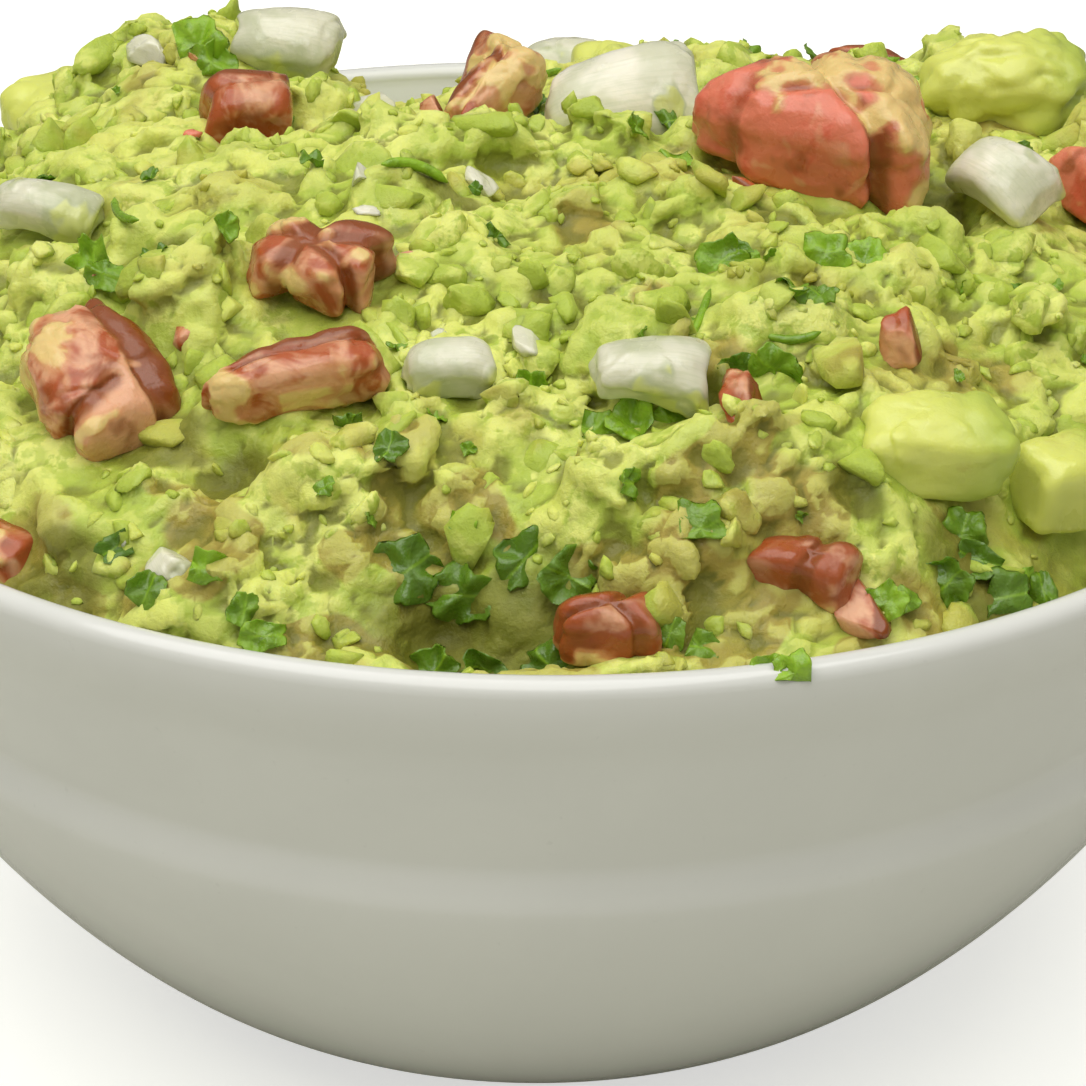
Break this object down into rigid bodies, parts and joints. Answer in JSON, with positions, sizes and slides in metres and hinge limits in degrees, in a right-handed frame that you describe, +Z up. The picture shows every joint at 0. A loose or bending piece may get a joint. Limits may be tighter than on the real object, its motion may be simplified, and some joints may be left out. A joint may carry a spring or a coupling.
{
  "type": "guacamole",
  "caption": "Chunky guacamole with tomato, onion and herbs, heaped above the rim of its round white bowl.",
  "frame": {"origin": "centre of the bowl's foot ring, on its flat underside", "axes": "+Z up through the bowl's mouth, -Y towards the front of the heap, +X to the right seen from the front"},
  "size_m": [0.1498, 0.1498, 0.094],
  "materials": {
    "bowl_glaze": "white glazed ceramic",
    "avocado_mash": "moist mashed avocado",
    "tomato_flesh": "wet cut tomato",
    "onion_flesh": "wet cut white onion",
    "avocado_flesh": "soft cut avocado",
    "herb_leaf": "chopped coriander leaf and stem"
  },
  "bodies": {
    "root": {"bowl": "bowl_glaze", "guacamole": "avocado_mash", "avocado_1": "avocado_flesh", "avocado_2": "avocado_flesh", "avocado_3": "avocado_flesh", "avocado_4": "avocado_flesh", "avocado_5": "avocado_flesh", "onion_1": "onion_flesh", "onion_2": "onion_flesh", "onion_3": "onion_flesh", "onion_4": "onion_flesh", "onion_5": "onion_flesh", "onion_6": "onion_flesh", "onion_7": "onion_flesh", "onion_8": "onion_flesh", "onion_9": "onion_flesh", "tomato_1": "tomato_flesh", "tomato_2": "tomato_flesh", "tomato_3": "tomato_flesh", "tomato_4": "tomato_flesh", "tomato_5": "tomato_flesh", "tomato_6": "tomato_flesh", "tomato_7": "tomato_flesh", "tomato_8": "tomato_flesh", "tomato_9": "tomato_flesh", "tomato_10": "tomato_flesh", "tomato_11": "tomato_flesh", "tomato_12": "tomato_flesh", "tomato_13": "tomato_flesh", "tomato_14": "tomato_flesh", "tomato_15": "tomato_flesh"}
  },
  "joints": []
}
